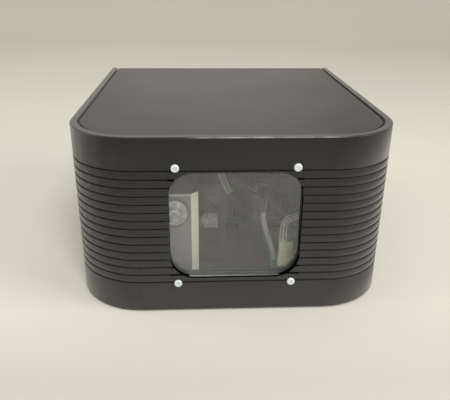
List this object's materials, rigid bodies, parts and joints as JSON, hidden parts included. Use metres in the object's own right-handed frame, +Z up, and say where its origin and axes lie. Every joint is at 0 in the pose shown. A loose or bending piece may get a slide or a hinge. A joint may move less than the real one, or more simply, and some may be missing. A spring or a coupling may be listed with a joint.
{
  "type": "laser show projector",
  "caption": "Box-shaped laser show projector with a grooved, round-cornered black case, a front window over scanner mirrors, and fan, switches and sockets at the back.",
  "frame": {"origin": "on the surface that the feet stand on, under the middle of the whole box", "axes": "+Z up, the window looks along -Y, +X is on the right seen from the front"},
  "size_m": [0.2, 0.2514, 0.114],
  "materials": {
    "black_case": "satin black anodised aluminium",
    "window_glass": "clear polished",
    "black_rubber": "matt",
    "bright_screws": "bright zinc",
    "dark_screws": "black oxide",
    "bush_steel": "turned",
    "black_sheet": "matt",
    "bare_aluminium": "milled",
    "bench_black": "black anodised",
    "standoff_brass": "turned",
    "shaft_steel": "ground",
    "mirror_silver": "front silvered",
    "dichroic_glass": "coated",
    "red_housing": "black anodised",
    "green_housing": "black anodised",
    "blue_housing": "black anodised",
    "green_board": "solder mask over glass fibre",
    "cream_nylon": "moulded",
    "board_parts": "moulded and sleeved",
    "wire_colours": "insulation in several colours",
    "mains_colours": "insulation in mains colours",
    "cage_steel": "galvanised",
    "display_face": "moulded",
    "display_red": "tinted acrylic",
    "fan_plastic": "moulded",
    "guard_chrome": "plated",
    "socket_plastic": "moulded",
    "rocker_plastic": "moulded",
    "socket_metal": "black nickel",
    "lock_chrome": "plated",
    "key_steel": "nickel plated",
    "button_plastic": "moulded"
  },
  "bodies": {
    "case": {"front_side_shell": "black_case", "top_lid": "black_case", "base_plate": "black_case", "rear_panel": "black_case", "window_glass": "window_glass", "rubber_feet": "black_rubber", "window_seal": "black_rubber", "window_screws": "bright_screws", "base_screws": "dark_screws", "rear_screws": "dark_screws", "fan_screws": "dark_screws", "bracket_bushes": "bush_steel", "window_retainer": "black_sheet", "scanner_tower": "bare_aluminium", "tower_clamp_disc": "bare_aluminium", "filter_holders": "bare_aluminium", "optical_plate": "bench_black", "bench_mounts": "bench_black", "driver_heatsink": "bench_black", "x_scanner_motor": "bench_black", "y_scanner_motor": "bench_black", "standoffs": "standoff_brass", "connector_pins": "standoff_brass", "laser_lenses": "standoff_brass", "fold_mirror": "mirror_silver", "dichroic_filters": "dichroic_glass", "red_laser_module": "red_housing", "green_laser_module": "green_housing", "blue_laser_module": "blue_housing", "scanner_driver_board": "green_board", "laser_driver_board": "green_board", "main_board": "green_board", "power_supply_board": "green_board", "wire_headers": "cream_nylon", "board_components": "board_parts", "signal_wires": "wire_colours", "mains_wires": "mains_colours", "power_supply_cage": "cage_steel", "display_module": "display_face", "display_window": "display_red", "fan_frame": "fan_plastic", "fan_guard": "guard_chrome", "power_inlet": "socket_plastic", "rocker_frame": "socket_plastic", "dmx_in_socket": "socket_metal", "dmx_out_socket": "socket_metal", "show_control_socket": "socket_metal", "key_switch_body": "lock_chrome"},
    "x_scanner": {"x_scanner_shaft": "shaft_steel", "x_scanner_mirror": "mirror_silver"},
    "y_scanner": {"y_scanner_shaft": "shaft_steel", "y_scanner_mirror": "mirror_silver"},
    "fan": {"fan_rotor": "fan_plastic"},
    "power_switch": {"rocker": "rocker_plastic"},
    "key_lock": {"key_barrel": "lock_chrome", "key": "key_steel"},
    "menu": {"menu_button": "button_plastic"},
    "down": {"down_button": "button_plastic"},
    "up": {"up_button": "button_plastic"},
    "enter": {"enter_button": "button_plastic"}
  },
  "joints": [
    {"name": "x_mirror_swing", "type": "hinge", "parent": "case", "child": "x_scanner", "pos_m": [-0.0125, -0.0943, 0.062], "axis": [0, 1, 0], "range_deg": [-12, 12]},
    {"name": "y_mirror_swing", "type": "hinge", "parent": "case", "child": "y_scanner", "pos_m": [-0.0125, -0.0943, 0.049], "axis": [1, 0, 0], "range_deg": [-12, 12]},
    {"name": "fan_spin", "type": "hinge", "parent": "case", "child": "fan", "pos_m": [-0.05175, 0.0877, 0.0575], "axis": [0, 1, 0], "continuous": true},
    {"name": "power_rocker_tip", "type": "hinge", "parent": "case", "child": "power_switch", "pos_m": [0.06125, 0.0989, 0.05325], "axis": [1, 0, 0], "range_deg": [-20, 0]},
    {"name": "key_turn", "type": "hinge", "parent": "case", "child": "key_lock", "pos_m": [0.06125, 0.1007, 0.08363], "axis": [0, -1, 0], "range_deg": [0, 90]},
    {"name": "menu_press", "type": "slide", "parent": "case", "child": "menu", "axis": [0, -1, 0], "range_m": [0, 0.0005], "stiffness_N_per_m": 400},
    {"name": "down_press", "type": "slide", "parent": "case", "child": "down", "axis": [0, -1, 0], "range_m": [0, 0.0005], "stiffness_N_per_m": 400},
    {"name": "up_press", "type": "slide", "parent": "case", "child": "up", "axis": [0, -1, 0], "range_m": [0, 0.0005], "stiffness_N_per_m": 400},
    {"name": "enter_press", "type": "slide", "parent": "case", "child": "enter", "axis": [0, -1, 0], "range_m": [0, 0.0005], "stiffness_N_per_m": 400}
  ]
}
